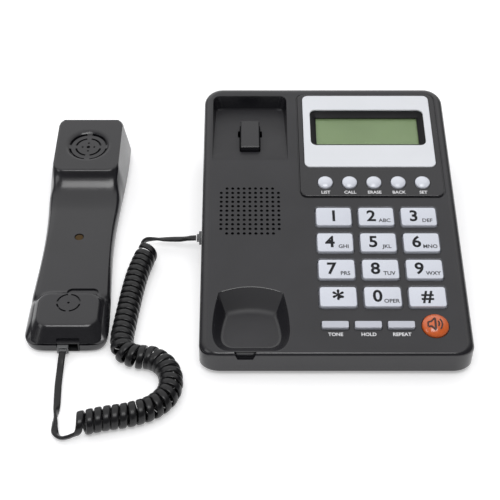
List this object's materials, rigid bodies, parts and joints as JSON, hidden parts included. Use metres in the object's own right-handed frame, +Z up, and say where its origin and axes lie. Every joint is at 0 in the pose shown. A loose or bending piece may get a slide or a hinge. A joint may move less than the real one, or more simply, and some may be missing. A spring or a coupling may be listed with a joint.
{
  "type": "desk telephone",
  "caption": "Corded desk telephone: wedge-shaped base with tilted display panel, push keys and handset cradle; the handset lies beside it on its back, joined by a curly cord.",
  "frame": {"origin": "on the floor, under the middle of the base and the handset taken together, without the cord", "axes": "+X across, from handset to base; +Y to the back of the base; +Z up"},
  "size_m": [0.2822, 0.2729, 0.0592],
  "materials": {
    "case_black": "glossy moulded",
    "inner_black": "fine texture",
    "silver_trim": "satin silver paint",
    "lens_clear": "polished",
    "lcd_green": "satin",
    "key_clear": "clear cap over white",
    "button_white": "glossy",
    "button_orange": "translucent glossy",
    "silicone_grey": "matt",
    "circuit_board": "solder mask",
    "rubber_black": "matt",
    "cord_black": "satin",
    "plug_clear": "clear",
    "steel": "plated"
  },
  "bodies": {
    "base": {"base_top_cover": "case_black", "base_bottom_cover": "inner_black", "display_bezel": "silver_trim", "display_window": "lens_clear", "lcd_panel": "lcd_green", "keypad_membrane": "silicone_grey", "keypad_board": "circuit_board", "main_board": "circuit_board", "loudspeaker": "inner_black", "hook_pivot_pin": "steel", "hook_switch": "inner_black", "hook_spring": "steel", "handset_jack_base": "inner_black", "line_jack": "inner_black", "plug_base": "plug_clear", "cord_coil": "cord_black", "cord_lead_base": "cord_black", "cord_lead_handset": "cord_black", "rubber_foot_front_left": "rubber_black", "case_screw_front_left": "steel", "rubber_foot_front_right": "rubber_black", "case_screw_front_right": "steel", "rubber_foot_rear_left": "rubber_black", "case_screw_rear_left": "steel", "rubber_foot_rear_right": "rubber_black", "case_screw_rear_right": "steel"},
    "handset": {"handset_front_shell": "case_black", "handset_back_shell": "case_black", "handset_screw": "steel", "earpiece_receiver": "inner_black", "microphone_capsule": "steel", "handset_weight": "steel", "handset_jack": "inner_black", "plug_handset": "plug_clear"},
    "hook_lever": {"hook_lever": "case_black"},
    "digit_key_1": {"digit_key_1": "key_clear"},
    "digit_key_2": {"digit_key_2": "key_clear"},
    "digit_key_3": {"digit_key_3": "key_clear"},
    "digit_key_4": {"digit_key_4": "key_clear"},
    "digit_key_5": {"digit_key_5": "key_clear"},
    "digit_key_6": {"digit_key_6": "key_clear"},
    "digit_key_7": {"digit_key_7": "key_clear"},
    "digit_key_8": {"digit_key_8": "key_clear"},
    "digit_key_9": {"digit_key_9": "key_clear"},
    "digit_key_star": {"digit_key_star": "key_clear"},
    "digit_key_0": {"digit_key_0": "key_clear"},
    "digit_key_hash": {"digit_key_hash": "key_clear"},
    "ring_key": {"ring_key": "key_clear"},
    "flash_key": {"flash_key": "key_clear"},
    "redial_key": {"redial_key": "key_clear"},
    "menu_button_1": {"menu_button_1": "button_white"},
    "menu_button_2": {"menu_button_2": "button_white"},
    "menu_button_3": {"menu_button_3": "button_white"},
    "menu_button_4": {"menu_button_4": "button_white"},
    "menu_button_5": {"menu_button_5": "button_white"},
    "speaker_button": {"speaker_button": "button_orange"}
  },
  "joints": [
    {"name": "handset_lift", "type": "slide", "parent": "base", "child": "handset", "axis": [0, 0, 1], "range_m": [0, 0.12]},
    {"name": "hook_press", "type": "hinge", "parent": "base", "child": "hook_lever", "pos_m": [0.00345, 0.05, 0.0422], "axis": [1, 0, 0], "range_deg": [-12, 0], "stiffness_Nm_per_rad": 0.08, "springref_deg": 8.59, "deforming": ["hook_spring"]},
    {"name": "digit_1_press", "type": "slide", "parent": "base", "child": "digit_key_1", "axis": [0, -0.1754, 0.9845], "range_m": [-0.0015, 0], "stiffness_N_per_m": 400, "springref_m": 0.0005},
    {"name": "digit_2_press", "type": "slide", "parent": "base", "child": "digit_key_2", "axis": [0, -0.1754, 0.9845], "range_m": [-0.0015, 0], "stiffness_N_per_m": 400, "springref_m": 0.0005},
    {"name": "digit_3_press", "type": "slide", "parent": "base", "child": "digit_key_3", "axis": [0, -0.1754, 0.9845], "range_m": [-0.0015, 0], "stiffness_N_per_m": 400, "springref_m": 0.0005},
    {"name": "digit_4_press", "type": "slide", "parent": "base", "child": "digit_key_4", "axis": [0, -0.1754, 0.9845], "range_m": [-0.0015, 0], "stiffness_N_per_m": 400, "springref_m": 0.0005},
    {"name": "digit_5_press", "type": "slide", "parent": "base", "child": "digit_key_5", "axis": [0, -0.1754, 0.9845], "range_m": [-0.0015, 0], "stiffness_N_per_m": 400, "springref_m": 0.0005},
    {"name": "digit_6_press", "type": "slide", "parent": "base", "child": "digit_key_6", "axis": [0, -0.1754, 0.9845], "range_m": [-0.0015, 0], "stiffness_N_per_m": 400, "springref_m": 0.0005},
    {"name": "digit_7_press", "type": "slide", "parent": "base", "child": "digit_key_7", "axis": [0, -0.1754, 0.9845], "range_m": [-0.0015, 0], "stiffness_N_per_m": 400, "springref_m": 0.0005},
    {"name": "digit_8_press", "type": "slide", "parent": "base", "child": "digit_key_8", "axis": [0, -0.1754, 0.9845], "range_m": [-0.0015, 0], "stiffness_N_per_m": 400, "springref_m": 0.0005},
    {"name": "digit_9_press", "type": "slide", "parent": "base", "child": "digit_key_9", "axis": [0, -0.1754, 0.9845], "range_m": [-0.0015, 0], "stiffness_N_per_m": 400, "springref_m": 0.0005},
    {"name": "digit_star_press", "type": "slide", "parent": "base", "child": "digit_key_star", "axis": [0, -0.1754, 0.9845], "range_m": [-0.0015, 0], "stiffness_N_per_m": 400, "springref_m": 0.0005},
    {"name": "digit_0_press", "type": "slide", "parent": "base", "child": "digit_key_0", "axis": [0, -0.1754, 0.9845], "range_m": [-0.0015, 0], "stiffness_N_per_m": 400, "springref_m": 0.0005},
    {"name": "digit_hash_press", "type": "slide", "parent": "base", "child": "digit_key_hash", "axis": [0, -0.1754, 0.9845], "range_m": [-0.0015, 0], "stiffness_N_per_m": 400, "springref_m": 0.0005},
    {"name": "ring_press", "type": "slide", "parent": "base", "child": "ring_key", "axis": [0, -0.1754, 0.9845], "range_m": [-0.0015, 0], "stiffness_N_per_m": 400, "springref_m": 0.0005},
    {"name": "flash_press", "type": "slide", "parent": "base", "child": "flash_key", "axis": [0, -0.1754, 0.9845], "range_m": [-0.0015, 0], "stiffness_N_per_m": 400, "springref_m": 0.0005},
    {"name": "redial_press", "type": "slide", "parent": "base", "child": "redial_key", "axis": [0, -0.1754, 0.9845], "range_m": [-0.0015, 0], "stiffness_N_per_m": 400, "springref_m": 0.0005},
    {"name": "menu_button_1_press", "type": "slide", "parent": "base", "child": "menu_button_1", "axis": [0, -0.1754, 0.9845], "range_m": [-0.0015, 0], "stiffness_N_per_m": 400, "springref_m": 0.0005},
    {"name": "menu_button_2_press", "type": "slide", "parent": "base", "child": "menu_button_2", "axis": [0, -0.1754, 0.9845], "range_m": [-0.0015, 0], "stiffness_N_per_m": 400, "springref_m": 0.0005},
    {"name": "menu_button_3_press", "type": "slide", "parent": "base", "child": "menu_button_3", "axis": [0, -0.1754, 0.9845], "range_m": [-0.0015, 0], "stiffness_N_per_m": 400, "springref_m": 0.0005},
    {"name": "menu_button_4_press", "type": "slide", "parent": "base", "child": "menu_button_4", "axis": [0, -0.1754, 0.9845], "range_m": [-0.0015, 0], "stiffness_N_per_m": 400, "springref_m": 0.0005},
    {"name": "menu_button_5_press", "type": "slide", "parent": "base", "child": "menu_button_5", "axis": [0, -0.1754, 0.9845], "range_m": [-0.0015, 0], "stiffness_N_per_m": 400, "springref_m": 0.0005},
    {"name": "speaker_button_press", "type": "slide", "parent": "base", "child": "speaker_button", "axis": [0, -0.1754, 0.9845], "range_m": [-0.0015, 0], "stiffness_N_per_m": 400, "springref_m": 0.0005}
  ]
}
